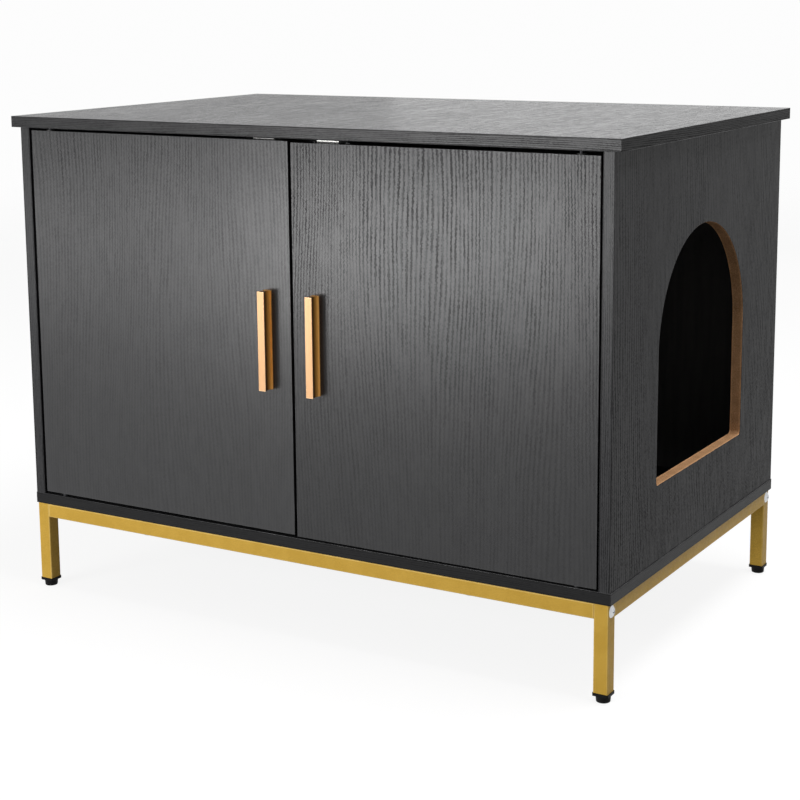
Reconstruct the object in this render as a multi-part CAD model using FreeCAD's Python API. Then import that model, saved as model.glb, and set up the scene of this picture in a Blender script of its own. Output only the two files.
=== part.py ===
import FreeCAD, Part
import os

# A cat litter box cabinet: a board carcass with two pivot-hung doors and an arched cat doorway,
# on a bolted base of square steel tube.
# Millimetres. x runs across the front, y from the front to the back, z upwards from the floor.
# The parts are laid out from the middle of the front of the carcass. When they are written, they
# are moved back so that the origin is under the middle of the whole cabinet.

# Boards of the carcass
board = 15.0
board_edge_round = 0.5
body_width = 880.0
body_depth = 566.0
side_height = 515.0
top_side_overhang = 10.0
top_front_overhang = 7.0
top_rear_overhang = 7.0
bottom_side_overhang = 1.0

# Back panel, in two halves that stand in grooves and meet in a plastic strip
back_board = 3.0
back_inset = 12.0
groove_depth = 5.0
groove_clearance = 0.3
strip_web = 1.5
strip_flange = 1.0
strip_width = 18.0

# Cat doorway in the right side board
arch_width = 294.0
arch_rise = 160.0
arch_sill = 96.0
arch_corner_radius = 5.0
arch_edge_bevel = 0.5

# Doors
left_door_gap = 4.5
right_door_gap = 2.5
split_gap = 4.0
door_height_play = 7.8
left_door_lift = 4.0
right_door_lift = 2.5

# Door pivots: steel pins in the boards, plastic bushes in the doors
pivot_inset = 27.5
pivot_radius = 2.5
pivot_length = 25.0
pivot_in_board = 10.0
pivot_clearance = 0.06
collar_radius = 4.5
collar_clearance = 0.2
bush_radius = 4.0
bush_length = 13.0
bush_flange_radius = 5.5
bush_flange = 0.8

# Handles: an extruded bar with thin flanges at the front and rear and a hollowed waist between
handle_length = 128.0
handle_width = 10.5
handle_depth = 17.5
handle_waist = 6.4
handle_front_flange = 1.4
handle_rear_flange = 1.4
handle_edge_round = 0.6
handle_inset = 34.0
handle_hole_spacing = 96.0
handle_screw_radius = 2.0
handle_screw_in_handle = 9.0
handle_screw_head_radius = 3.8
handle_screw_head = 2.2
handle_hole_clearance = 0.25
handle_thread_clearance = 0.05

# Magnetic catches under the top board, and their strike plates on the doors
catch_offset = 48.0
catch_width = 56.0
catch_body_width = 40.0
catch_depth = 14.0
catch_height = 14.5
catch_ear = 5.0
catch_cavity_roof = 3.0
catch_edge_round = 0.8
catch_screw_spacing = 47.0
catch_screw_radius = 1.7
catch_screw_in_board = 11.0
catch_screw_head_radius = 3.2
catch_screw_head = 2.0
magnet_width = 32.0
magnet_depth = 12.0
magnet_height = 7.0
pole_plate = 1.6
pole_plate_proud = 0.8
strike_width = 34.0
strike_height = 24.0
strike_plate = 1.2
strike_top_inset = 1.0
strike_gap = 0.25
strike_screw_rise = 7.0
strike_screw_radius = 1.6
strike_screw_in_door = 11.0
strike_screw_head_radius = 3.2
strike_screw_head = 1.8

# Cam fittings and dowels that join the side boards to the top and bottom boards
cam_row_inset = 80.0
cam_setback = 34.0
cam_radius = 7.4
cam_depth = 12.4
cam_mouth_radius = 3.9
cam_slot = 1.4
cam_slot_length = 9.0
cam_slot_depth = 2.0
cam_bolt_thread_radius = 2.9
cam_bolt_thread = 11.0
cam_bolt_shank_radius = 3.5
cam_bolt_shank = 26.0
cam_bolt_neck_radius = 2.2
cam_bolt_neck = 4.0
cam_bolt_head_radius = 3.3
cam_bolt_head = 3.0
dowel_row_inset = 45.0
dowel_radius = 4.0
dowel_length = 30.0
dowel_in_panel = 10.0
dowel_end_bevel = 0.8

# Base of square steel tube
tube = 19.0
tube_wall = 1.2
tube_corner = 1.4
leg_length = 110.0
base_side_inset = 1.5
base_rear_inset = 4.0
nut_block_length = 8.0
nut_block_clearance = 0.1
base_bolt_radius = 3.0
base_bolt_tail = 8.0
base_bolt_head_radius = 7.6
base_bolt_head = 3.2
bolt_recess_length = 6.5
bolt_recess_width = 1.2
bolt_recess_depth = 1.6
bolt_hole_clearance = 0.3
bolt_thread_clearance = 0.05
deck_bolt_spacing = 500.0
insert_radius = 5.0
insert_length = 8.0

# Plastic feet: a plug in the leg's tube, a square flange and a tapered round stub
foot_plug_length = 14.0
foot_plug_clearance = 0.1
foot_plug_bore_radius = 5.0
foot_flange = 3.6
foot_flange_lip = 0.9
foot_flange_corner = 2.0
foot_stub = 8.4
foot_stub_top_radius = 9.4
foot_stub_bottom_radius = 8.6
foot_stub_round = 1.2

# Clearances around fixed hardware in drilled holes, and room at the end of a blind hole
drill_clearance = 0.1
blind_end = 0.3

# Levels and planes that follow from the sizes above
foot_height = foot_flange + foot_stub
deck = foot_height + leg_length
floor_board_top = deck + board
side_top = floor_board_top + side_height
cabinet_top = side_top + board
half_width = body_width / 2
inner_half = half_width - board
board_middle = half_width - board / 2
back_front = body_depth - back_inset - back_board
base_half = half_width - base_side_inset
base_rear = body_depth - base_rear_inset
rail_end = base_half - tube
deck_bolt_level = deck - tube
catch_front = board + strike_plate + strike_gap + pole_plate_proud
door_height = side_height - door_height_play
door_width = (2 * inner_half - left_door_gap - right_door_gap - split_gap) / 2
whole_middle = (body_depth + top_rear_overhang - handle_depth) / 2

left, right = -1, 1
sides = {"left": left, "right": right}
side_gap = {left: left_door_gap, right: right_door_gap}
door_lift = {left: left_door_lift, right: right_door_lift}
cam_rows = (cam_row_inset, body_depth - cam_row_inset)
dowel_rows = (dowel_row_inset, body_depth - dowel_row_inset)
deck_bolt_places = (-deck_bolt_spacing / 2, deck_bolt_spacing / 2)
rail_rows = (tube / 2, base_rear - tube / 2)
x_way = FreeCAD.Vector(1, 0, 0)
y_way = FreeCAD.Vector(0, 1, 0)
z_way = FreeCAD.Vector(0, 0, 1)


def box(x, y, z):
    """A block between two places on each axis, given in either order."""
    low = FreeCAD.Vector(min(x), min(y), min(z))
    high = FreeCAD.Vector(max(x), max(y), max(z))
    size = high - low
    return Part.makeBox(size.x, size.y, size.z, low)


def rod(radius, length, start, way):
    """A round bar from a start point along a direction."""
    return Part.makeCylinder(radius, length, FreeCAD.Vector(*start), way)


def centred_box(centre, size):
    """A block of the given size about a centre."""
    spans = [(middle - length / 2, middle + length / 2) for middle, length in zip(centre, size)]
    return box(*spans)


def edges_along(solid, way):
    """The straight edges of a solid that run along a direction."""
    found = []
    for edge in solid.Edges:
        if len(edge.Vertexes) == 2:
            run = (edge.Vertexes[1].Point - edge.Vertexes[0].Point).normalize()
            if abs(run.dot(way)) > 0.999:
                found.append(edge)
    return found


def eased_board(x, y, z):
    """A board with its edges eased."""
    solid = box(x, y, z)
    return solid.makeFillet(min(board_edge_round, board / 4), solid.Edges)


def cross_recess(centre, way):
    """The cross-shaped driver recess, cut into a bolt head from its outer face."""
    long, short, deep = bolt_recess_length, bolt_recess_width, 2 * bolt_recess_depth
    if abs(way.x) > 0.5:
        sizes = ((deep, long, short), (deep, short, long))
    else:
        sizes = ((long, short, deep), (short, long, deep))
    return [centred_box(centre, size) for size in sizes]


def truss_bolt(seat, way, length):
    """A bolt with a low domed head. The seat is under the head, and the way is out of it."""
    seat = FreeCAD.Vector(*seat)
    radius, height = base_bolt_head_radius, base_bolt_head
    sphere_radius = (radius**2 + height**2) / (2 * height)
    outward = FreeCAD.Vector(way.y, way.z, way.x)
    middle_height = height - sphere_radius + (sphere_radius**2 - (radius / 2) ** 2) ** 0.5
    rim, top = seat + outward * radius, seat + way * height
    dome = Part.Arc(rim, seat + outward * (radius / 2) + way * middle_height, top).toShape()
    edges = [Part.makeLine(seat, rim), dome, Part.makeLine(top, seat)]
    head = Part.Face(Part.Wire(edges)).revolve(seat, way, 360)
    head = head.cut(cross_recess(top, way))
    return head.fuse(rod(base_bolt_radius, length, seat, way * -1))


# Drilled holes that the boards share


def panel_end_holes(face, way):
    """Holes in the top or bottom board for the cam bolts and dowels, drilled from one face."""
    holes = []
    for side in sides.values():
        for row in cam_rows:
            radius = cam_bolt_thread_radius + drill_clearance
            holes.append(rod(radius, cam_bolt_thread + blind_end, (side * board_middle, row, face), way))
        for row in dowel_rows:
            radius = dowel_radius + drill_clearance
            holes.append(rod(radius, dowel_in_panel + blind_end, (side * board_middle, row, face), way))
    return holes


def side_end_holes(side, end, way):
    """Holes in a side board at its top or bottom edge, with the round pockets for the cams."""
    holes = []
    for row in cam_rows:
        radius = cam_bolt_shank_radius + drill_clearance
        holes.append(rod(radius, cam_setback, (side * board_middle, row, end), way))
        mouth = (side * inner_half, row, end + way.z * cam_setback)
        holes.append(rod(cam_radius + drill_clearance, cam_depth, mouth, x_way * side))
    for row in dowel_rows:
        depth = dowel_length - dowel_in_panel + blind_end
        holes.append(rod(dowel_radius + drill_clearance, depth, (side * board_middle, row, end), way))
    return holes


def back_groove(x, z):
    """The groove for the back panel, between two places across and two levels."""
    return box(x, (back_front - groove_clearance, back_front + back_board + groove_clearance), z)


def pivot_place(side):
    """The place across the front of a door's pivot line."""
    return side * (inner_half - side_gap[side] - pivot_inset)


def pivot_hole(side, face, way):
    """The hole in the top or bottom board for a door's pivot pin."""
    radius = pivot_radius + drill_clearance
    return rod(radius, pivot_in_board + blind_end, (pivot_place(side), board / 2, face), way)


def catch_screw_places(side):
    """The two places across the front of a catch's screws."""
    middle = side * catch_offset
    return (middle - catch_screw_spacing / 2, middle + catch_screw_spacing / 2)


# The five boards and the back


def top_board():
    half = half_width + top_side_overhang
    depth = (-top_front_overhang, body_depth + top_rear_overhang)
    panel = eased_board((-half, half), depth, (side_top, cabinet_top))
    cuts = panel_end_holes(side_top, z_way)
    groove_half = inner_half + groove_depth
    cuts.append(back_groove((-groove_half, groove_half), (side_top, side_top + groove_depth)))
    for side in sides.values():
        cuts.append(pivot_hole(side, side_top, z_way))
        for place in catch_screw_places(side):
            seat = (place, catch_front + catch_depth / 2, side_top)
            cuts.append(rod(catch_screw_radius + drill_clearance, catch_screw_in_board + blind_end, seat, z_way))
    return panel.cut(cuts)


def bottom_board():
    half = half_width + bottom_side_overhang
    panel = eased_board((-half, half), (0, body_depth), (deck, floor_board_top))
    cuts = panel_end_holes(floor_board_top, z_way * -1)
    groove_half = inner_half + groove_depth
    cuts.append(back_groove((-groove_half, groove_half), (floor_board_top - groove_depth, floor_board_top)))
    for side in sides.values():
        cuts.append(pivot_hole(side, floor_board_top, z_way * -1))
    for x in deck_bolt_places:
        for row in rail_rows:
            radius = insert_radius + drill_clearance
            cuts.append(rod(radius, insert_length + blind_end, (x, row, deck), z_way))
    return panel.cut(cuts)


def side_board(side):
    across = (side * inner_half, side * half_width)
    panel = eased_board(across, (0, body_depth), (floor_board_top, side_top))
    cuts = side_end_holes(side, floor_board_top, z_way)
    cuts += side_end_holes(side, side_top, z_way * -1)
    groove = (side * inner_half, side * (inner_half + groove_depth))
    cuts.append(back_groove(groove, (floor_board_top, side_top)))
    return panel.cut(cuts)


def arch_outline(x, margin):
    """The closed outline of the cat doorway on a plane across x, widened by a margin."""
    middle = body_depth / 2
    half = arch_width / 2 + margin
    sill = floor_board_top + arch_sill - margin
    spring = floor_board_top + arch_sill + arch_rise
    corner = min(arch_corner_radius + margin, arch_width / 4)
    bend = corner * (1 - 0.5**0.5)

    def at(y, z):
        return FreeCAD.Vector(x, y, z)

    edges = [
        Part.LineSegment(at(middle - half + corner, sill), at(middle + half - corner, sill)),
        Part.Arc(
            at(middle + half - corner, sill),
            at(middle + half - bend, sill + bend),
            at(middle + half, sill + corner),
        ),
        Part.LineSegment(at(middle + half, sill + corner), at(middle + half, spring)),
        Part.Arc(at(middle + half, spring), at(middle, spring + half), at(middle - half, spring)),
        Part.LineSegment(at(middle - half, spring), at(middle - half, sill + corner)),
        Part.Arc(
            at(middle - half, sill + corner),
            at(middle - half + bend, sill + bend),
            at(middle - half + corner, sill),
        ),
    ]
    return Part.Wire([edge.toShape() for edge in edges])


def side_board_with_doorway():
    """The right side board, with the doorway cut through it and its edges bevelled."""
    opening = Part.Face(arch_outline(inner_half - board, 0)).extrude(x_way * 3 * board)
    bevels = []
    for face, step in ((inner_half, 1), (half_width, -1)):
        wide = arch_outline(face, arch_edge_bevel)
        narrow = arch_outline(face + step * arch_edge_bevel, 0)
        bevels.append(Part.makeLoft([wide, narrow], True, True))
    return side_board(right).cut([opening] + bevels)


def back_half(side):
    """One half of the back panel, standing in the grooves of three boards."""
    clear = groove_clearance
    inner = side * (strip_web / 2 + clear)
    outer = side * (inner_half + groove_depth - clear)
    level = (floor_board_top - groove_depth + clear, side_top + groove_depth - clear)
    return box((inner, outer), (back_front, back_front + back_board), level)


def back_strip():
    """The strip of H section that holds the two halves of the back together."""
    level = (floor_board_top, side_top - blind_end)
    inside = (back_front - groove_clearance, back_front + back_board + groove_clearance)
    web = box((-strip_web / 2, strip_web / 2), inside, level)
    across = (-strip_width / 2, strip_width / 2)
    front = box(across, (inside[0] - strip_flange, inside[0]), level)
    rear = box(across, (inside[1], inside[1] + strip_flange), level)
    return web.fuse([front, rear]).removeSplitter()


# Cam fittings and dowels


def board_ends():
    """The top and bottom edges of the side boards, each with the way into the side board."""
    return ((floor_board_top, z_way), (side_top, z_way * -1))


def cam_lock(side, row, end, way):
    centre = FreeCAD.Vector(side * (inner_half + drill_clearance), row, end + way.z * cam_setback)
    body = rod(cam_radius, cam_depth - 2 * drill_clearance, centre, x_way * side)
    edge = FreeCAD.Vector(side * board_middle, row, end)
    mouth = rod(cam_mouth_radius, cam_setback, edge, way)
    slot = centred_box(centre, (2 * cam_slot_depth, cam_slot_length, cam_slot))
    return body.cut([mouth, slot])


def cam_bolt(side, row, end, way):
    start = FreeCAD.Vector(side * board_middle, row, end)
    thread = rod(cam_bolt_thread_radius, cam_bolt_thread, start, way * -1)
    shank = rod(cam_bolt_shank_radius, cam_bolt_shank, start, way)
    neck_start = start + way * cam_bolt_shank
    neck = rod(cam_bolt_neck_radius, cam_bolt_neck, neck_start, way)
    head = rod(cam_bolt_head_radius, cam_bolt_head, neck_start + way * cam_bolt_neck, way)
    return thread.fuse([shank, neck, head])


def dowel(side, row, end, way):
    start = FreeCAD.Vector(side * board_middle, row, end) - way * dowel_in_panel
    solid = rod(dowel_radius, dowel_length, start, way)
    rims = [edge for edge in solid.Edges if len(edge.Vertexes) == 1]
    return solid.makeChamfer(dowel_end_bevel, rims)


def at_each_end(maker, rows):
    """One fitting for each row, at both ends of both side boards."""
    found = []
    for side in sides.values():
        for end, way in board_ends():
            found += [maker(side, row, end, way) for row in rows]
    return found


# Doors and what they carry


def door_span(side):
    """The hinge edge and the free edge of a door, across the front."""
    hinge_edge = side * (inner_half - side_gap[side])
    return hinge_edge, hinge_edge - side * door_width


def door_levels(side):
    bottom = floor_board_top + door_lift[side]
    return bottom, bottom + door_height


def handle_place(side):
    """The middle of a handle: its place across the front and its level."""
    return door_span(side)[1] + side * handle_inset, sum(door_levels(side)) / 2


def handle_screw_levels(side):
    level = handle_place(side)[1]
    return (level - handle_hole_spacing / 2, level + handle_hole_spacing / 2)


def strike_screw_place(side):
    top = door_levels(side)[1] - strike_top_inset
    return side * catch_offset, top - strike_height + strike_screw_rise


def door(side):
    panel = eased_board(door_span(side), (0, board), door_levels(side))
    cuts = []
    for level, way in zip(door_levels(side), (z_way, z_way * -1)):
        seat = (pivot_place(side), board / 2, level)
        cuts.append(rod(bush_radius + drill_clearance, bush_length + blind_end, seat, way))
    for level in handle_screw_levels(side):
        radius = handle_screw_radius + handle_hole_clearance
        cuts.append(rod(radius, board, (handle_place(side)[0], 0, level), y_way))
    across, level = strike_screw_place(side)
    radius = strike_screw_radius + drill_clearance
    cuts.append(rod(radius, strike_screw_in_door + blind_end, (across, board, level), y_way * -1))
    return panel.cut(cuts)


def handle_profile(middle, level):
    """The section of a handle: two flanges with a hollow curve down each side between them."""
    half, waist = handle_width / 2, handle_waist / 2
    rear, front = -handle_rear_flange, handle_front_flange - handle_depth
    hollow = (rear + front) / 2

    def at(x, y):
        return FreeCAD.Vector(middle + x, y, level)

    edges = [
        Part.LineSegment(at(-half, 0), at(half, 0)),
        Part.LineSegment(at(half, 0), at(half, rear)),
        Part.Arc(at(half, rear), at(waist, hollow), at(half, front)),
        Part.LineSegment(at(half, front), at(half, -handle_depth)),
        Part.LineSegment(at(half, -handle_depth), at(-half, -handle_depth)),
        Part.LineSegment(at(-half, -handle_depth), at(-half, front)),
        Part.Arc(at(-half, front), at(-waist, hollow), at(-half, rear)),
        Part.LineSegment(at(-half, rear), at(-half, 0)),
    ]
    return Part.Face(Part.Wire([edge.toShape() for edge in edges]))


def handle(side):
    middle, level = handle_place(side)
    profile = handle_profile(middle, level - handle_length / 2)
    bar = profile.extrude(z_way * handle_length)
    front = [edge for edge in edges_along(bar, z_way) if edge.CenterOfMass.y < 0.1 - handle_depth]
    bar = bar.makeFillet(min(handle_edge_round, handle_front_flange / 2), front)
    radius = handle_screw_radius + handle_thread_clearance
    depth = handle_screw_in_handle + blind_end
    holes = [rod(radius, depth, (middle, 0, z), y_way * -1) for z in handle_screw_levels(side)]
    return bar.cut(holes)


def handle_screw(side, level):
    seat = (handle_place(side)[0], board, level)
    shank = rod(handle_screw_radius, board + handle_screw_in_handle, seat, y_way * -1)
    head = rod(handle_screw_head_radius, handle_screw_head, seat, y_way)
    rim = [edge for edge in head.Edges if edge.CenterOfMass.y > board + handle_screw_head / 2]
    return head.makeFillet(handle_screw_head / 3, rim[:1]).fuse(shank)


def pivot_bush(side, level, way):
    """A plastic bush in a door edge. The way is into the door."""
    seat = FreeCAD.Vector(pivot_place(side), board / 2, level)
    sleeve = rod(bush_radius, bush_length, seat, way)
    flange = rod(bush_flange_radius, bush_flange, seat, way * -1)
    through = bush_length + bush_flange
    bore = rod(pivot_radius + pivot_clearance, through, seat - way * bush_flange, way)
    return sleeve.fuse(flange).cut(bore)


def pivot_bushes(side):
    bottom, top = door_levels(side)
    return [pivot_bush(side, bottom, z_way), pivot_bush(side, top, z_way * -1)]


def upper_pivot_pin(side):
    start = (pivot_place(side), board / 2, side_top + pivot_in_board)
    return rod(pivot_radius, pivot_length, start, z_way * -1)


def lower_pivot_pin(side):
    """The pin that a door stands on: its collar carries the bush's flange."""
    start = (pivot_place(side), board / 2, floor_board_top - pivot_in_board)
    collar_height = door_lift[side] - bush_flange - collar_clearance
    collar_seat = (pivot_place(side), board / 2, floor_board_top)
    collar = rod(collar_radius, collar_height, collar_seat, z_way)
    return rod(pivot_radius, pivot_length, start, z_way).fuse(collar)


# Catches


def catch_part(side, width, front, rear, bottom, top):
    """A block of a catch, with its levels counted down from the top board."""
    middle = side * catch_offset
    across = (middle - width / 2, middle + width / 2)
    return box(across, (catch_front + front, catch_front + rear), (side_top - bottom, side_top - top))


def magnet_levels():
    """The top and the bottom of the magnet with its pole plates, down from the top board."""
    return catch_cavity_roof, catch_cavity_roof + magnet_height + 2 * pole_plate


def catch_housing(side):
    body = catch_part(side, catch_body_width, 0, catch_depth, catch_height, 0)
    body = body.fuse(catch_part(side, catch_width, 0, catch_depth, catch_ear, 0)).removeSplitter()
    body = body.makeFillet(catch_edge_round, edges_along(body, z_way))
    upper, lower = magnet_levels()
    clear = drill_clearance
    rear = magnet_depth + clear
    cavity = catch_part(side, magnet_width + 2 * clear, -clear, rear, lower + clear, upper - clear)
    row = catch_front + catch_depth / 2
    radius = catch_screw_radius + drill_clearance
    holes = [rod(radius, catch_height, (x, row, side_top), z_way * -1) for x in catch_screw_places(side)]
    return body.cut([cavity] + holes)


def catch_magnet(side):
    upper, lower = magnet_levels()
    return catch_part(side, magnet_width, 0, magnet_depth, lower - pole_plate, upper + pole_plate)


def pole_plates(side):
    upper, lower = magnet_levels()
    front = -pole_plate_proud
    return [
        catch_part(side, magnet_width, front, magnet_depth, upper + pole_plate, upper),
        catch_part(side, magnet_width, front, magnet_depth, lower, lower - pole_plate),
    ]


def catch_screw(x):
    seat = (x, catch_front + catch_depth / 2, side_top - catch_ear)
    head = rod(catch_screw_head_radius, catch_screw_head, seat, z_way * -1)
    rim = [edge for edge in head.Edges if edge.CenterOfMass.z < seat[2] - catch_screw_head / 2]
    shank = rod(catch_screw_radius, catch_ear + catch_screw_in_board, seat, z_way)
    return head.makeFillet(catch_screw_head / 3, rim[:1]).fuse(shank)


def strike(side):
    """The steel plate on the inside of a door that the magnet holds."""
    middle, level = side * catch_offset, door_levels(side)[1] - strike_top_inset
    across = (middle - strike_width / 2, middle + strike_width / 2)
    plate = box(across, (board, board + strike_plate), (level - strike_height, level))
    plate = plate.makeFillet(2 * strike_plate, edges_along(plate, y_way))
    x, z = strike_screw_place(side)
    hole = rod(strike_screw_radius + drill_clearance, strike_plate, (x, board, z), y_way)
    return plate.cut(hole)


def strike_screw(side):
    x, z = strike_screw_place(side)
    seat = (x, board + strike_plate, z)
    head = rod(strike_screw_head_radius, strike_screw_head, seat, y_way)
    rim = [edge for edge in head.Edges if edge.CenterOfMass.y > seat[1] + strike_screw_head / 2]
    shank = rod(strike_screw_radius, strike_plate + strike_screw_in_door, seat, y_way * -1)
    return head.makeFillet(strike_screw_head / 3, rim[:1]).fuse(shank)


# Base


def tube_bar(x, y, z, way, inset):
    """A square bar along a direction, with rounded long edges, inset on its four sides."""
    bar = box(x, y, z)
    corner = max(tube_corner - inset, tube_corner / 4)
    return bar.makeFillet(corner, edges_along(bar, way))


def mitred(bar, corners):
    """A bar cut to a polygon seen along x."""
    points = [FreeCAD.Vector(-1, y, z) for y, z in corners + corners[:1]]
    prism = Part.Face(Part.makePolygon(points)).extrude(x_way * (tube + 2))
    return bar.common(prism)


def bent_frame(inset, foot):
    """Two legs and the side rail between them, mitred at the corners, from x = 0."""
    x = (inset, tube - inset)
    top, under = deck - inset, deck - tube + inset
    front_leg = tube_bar(x, (inset, tube - inset), (foot, deck), z_way, inset)
    rear_leg = tube_bar(x, (base_rear - tube + inset, base_rear - inset), (foot, deck), z_way, inset)
    rail = tube_bar(x, (0, base_rear), (under, top), y_way, inset)
    front_leg = mitred(front_leg, [(0, foot), (tube, foot), (tube, deck - tube), (0, deck)])
    rear = base_rear
    rear_leg = mitred(rear_leg, [(rear, foot), (rear - tube, foot), (rear - tube, deck - tube), (rear, deck)])
    rail = mitred(rail, [(0, deck), (tube, deck - tube), (rear - tube, deck - tube), (rear, deck)])
    return rail.fuse([front_leg, rear_leg])


def side_frame(side):
    """A welded side frame of the base: front leg, side rail and rear leg, hollow all through."""
    frame = bent_frame(0, foot_height).cut(bent_frame(tube_wall, foot_height - tube_wall))
    frame.translate(x_way * (rail_end if side > 0 else -base_half))
    radius = base_bolt_radius + bolt_hole_clearance
    level = deck - tube / 2
    holes = [rod(radius, tube, (side * rail_end, row, level), x_way * side) for row in rail_rows]
    return frame.cut(holes)


def cross_rail(row):
    """A long rail between the side frames, open at its ends, with holes for the deck bolts."""
    level = (deck - tube, deck)
    across = (-rail_end, rail_end)
    rail = tube_bar(across, (row - tube / 2, row + tube / 2), level, x_way, 0)
    inner = (row - tube / 2 + tube_wall, row + tube / 2 - tube_wall)
    hollow = tube_bar(across, inner, (level[0] + tube_wall, level[1] - tube_wall), x_way, tube_wall)
    radius = base_bolt_radius + bolt_hole_clearance
    holes = [rod(radius, tube, (x, row, deck_bolt_level), z_way) for x in deck_bolt_places]
    return rail.cut([hollow] + holes)


def nut_block(side, row):
    """The threaded block welded into the end of a long rail."""
    half = tube / 2 - tube_wall - nut_block_clearance
    across = (side * rail_end, side * (rail_end - nut_block_length))
    level = deck - tube / 2
    block = box(across, (row - half, row + half), (level - half, level + half))
    block = block.makeChamfer(tube_corner / 2, edges_along(block, x_way))
    radius = base_bolt_radius + bolt_thread_clearance
    return block.cut(rod(radius, nut_block_length, (side * rail_end, row, level), x_way * -side))


def base_bolt(side, row):
    length = tube + nut_block_length + base_bolt_tail
    return truss_bolt((side * base_half, row, deck - tube / 2), x_way * side, length)


def deck_bolt(x, row):
    return truss_bolt((x, row, deck_bolt_level), z_way * -1, tube + insert_length)


def deck_insert(x, row):
    """The threaded insert in the bottom board that takes a deck bolt."""
    sleeve = rod(insert_radius, insert_length, (x, row, deck), z_way)
    return sleeve.cut(rod(base_bolt_radius + bolt_thread_clearance, insert_length, (x, row, deck), z_way))


def foot(side, row):
    x = side * (base_half - tube / 2)
    plug_size = tube - 2 * (tube_wall + foot_plug_clearance)
    flange_size = tube + 2 * foot_flange_lip
    plug_middle = (x, row, foot_height + foot_plug_length / 2)
    plug = centred_box(plug_middle, (plug_size, plug_size, foot_plug_length))
    plug = plug.makeChamfer(tube_corner / 2, edges_along(plug, z_way))
    plug = plug.cut(rod(foot_plug_bore_radius, foot_plug_length, (x, row, foot_height), z_way))
    flange_middle = (x, row, foot_stub + foot_flange / 2)
    flange = centred_box(flange_middle, (flange_size, flange_size, foot_flange))
    flange = flange.makeFillet(foot_flange_corner, edges_along(flange, z_way))
    base = FreeCAD.Vector(x, row, 0)
    stub = Part.makeCone(foot_stub_bottom_radius, foot_stub_top_radius, foot_stub, base, z_way)
    rim = [edge for edge in stub.Edges if edge.CenterOfMass.z < foot_stub / 4]
    stub = stub.makeFillet(foot_stub_round, rim[:1])
    return flange.fuse([plug, stub])


# Writing the parts


def write(name, solids):
    """Writes one part, moved so that the origin is under the middle of the cabinet."""
    shape = solids[0] if len(solids) == 1 else Part.makeCompound(solids)
    shape.translate(y_way * -whole_middle)
    shape.exportStep("parts/" + name + ".step")
    count = len(shape.Solids)
    print(name, "solids", count, "valid", shape.isValid(), "volume", round(shape.Volume))


def write_boards():
    write("top_board", [top_board()])
    write("bottom_board", [bottom_board()])
    write("side_board_left", [side_board(left)])
    write("side_board_right", [side_board_with_doorway()])
    write("back_panel_left", [back_half(left)])
    write("back_panel_right", [back_half(right)])
    write("back_joining_strip", [back_strip()])
    write("cam_locks", at_each_end(cam_lock, cam_rows))
    write("cam_bolts", at_each_end(cam_bolt, cam_rows))
    write("dowels", at_each_end(dowel, dowel_rows))


def write_doors():
    for name, side in sides.items():
        write("door_" + name, [door(side)])
        write("handle_" + name, [handle(side)])
        write("handle_screws_" + name, [handle_screw(side, z) for z in handle_screw_levels(side)])
        write("pivot_bushes_" + name, pivot_bushes(side))
        write("pivot_pin_upper_" + name, [upper_pivot_pin(side)])
        write("pivot_pin_lower_" + name, [lower_pivot_pin(side)])
        write("strike_plate_" + name, [strike(side)])
        write("strike_screw_" + name, [strike_screw(side)])
        write("catch_housing_" + name, [catch_housing(side)])
        write("catch_magnet_" + name, [catch_magnet(side)])
        write("catch_pole_plates_" + name, pole_plates(side))
        write("catch_screws_" + name, [catch_screw(x) for x in catch_screw_places(side)])


def write_base():
    both = [(side, row) for side in sides.values() for row in rail_rows]
    for name, side in sides.items():
        write("side_frame_" + name, [side_frame(side)])
        write("foot_front_" + name, [foot(side, rail_rows[0])])
        write("foot_rear_" + name, [foot(side, rail_rows[1])])
    write("front_rail", [cross_rail(rail_rows[0])])
    write("rear_rail", [cross_rail(rail_rows[1])])
    write("rail_nut_blocks", [nut_block(side, row) for side, row in both])
    write("frame_bolts", [base_bolt(side, row) for side, row in both])
    write("deck_bolts", [deck_bolt(x, row) for x in deck_bolt_places for row in rail_rows])
    write("deck_inserts", [deck_insert(x, row) for x in deck_bolt_places for row in rail_rows])


os.makedirs("parts", exist_ok=True)
write_boards()
write_doors()
write_base()
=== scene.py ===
"""The looks of a cat litter box cabinet: grained black boards, copper-gold bar handles and a gold
tube base. Metres; x runs across the front, y from the front to the back, z up from the floor."""
from math import pi, radians

import bmesh
import bpy
from mathutils import Matrix, Vector


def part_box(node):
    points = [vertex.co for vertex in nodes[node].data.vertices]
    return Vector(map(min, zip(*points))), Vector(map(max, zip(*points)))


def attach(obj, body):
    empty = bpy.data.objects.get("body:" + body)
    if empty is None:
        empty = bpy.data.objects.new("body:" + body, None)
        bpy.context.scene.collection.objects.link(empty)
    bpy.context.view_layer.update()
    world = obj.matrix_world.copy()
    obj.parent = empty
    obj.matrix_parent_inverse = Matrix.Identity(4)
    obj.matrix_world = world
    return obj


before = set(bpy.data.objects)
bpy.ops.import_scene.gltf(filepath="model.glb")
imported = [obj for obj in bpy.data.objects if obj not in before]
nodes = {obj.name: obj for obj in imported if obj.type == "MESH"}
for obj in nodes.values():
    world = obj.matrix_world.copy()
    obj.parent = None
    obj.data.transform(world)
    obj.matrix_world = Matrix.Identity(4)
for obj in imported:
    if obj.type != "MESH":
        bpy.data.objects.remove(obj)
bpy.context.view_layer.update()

# ---------------------------------------------------------------------------------------------
# Camera: it stands to the right of the front, a little above the cabinet, and looks slightly
# down. The frame is shifted downwards, so that the upright edges keep almost parallel.
camera_place = Vector((1.2293, -2.0809, 0.8270))
camera_turn = radians(30.684)
camera_dip = radians(10.021)
camera_roll = radians(-0.468)

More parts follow.
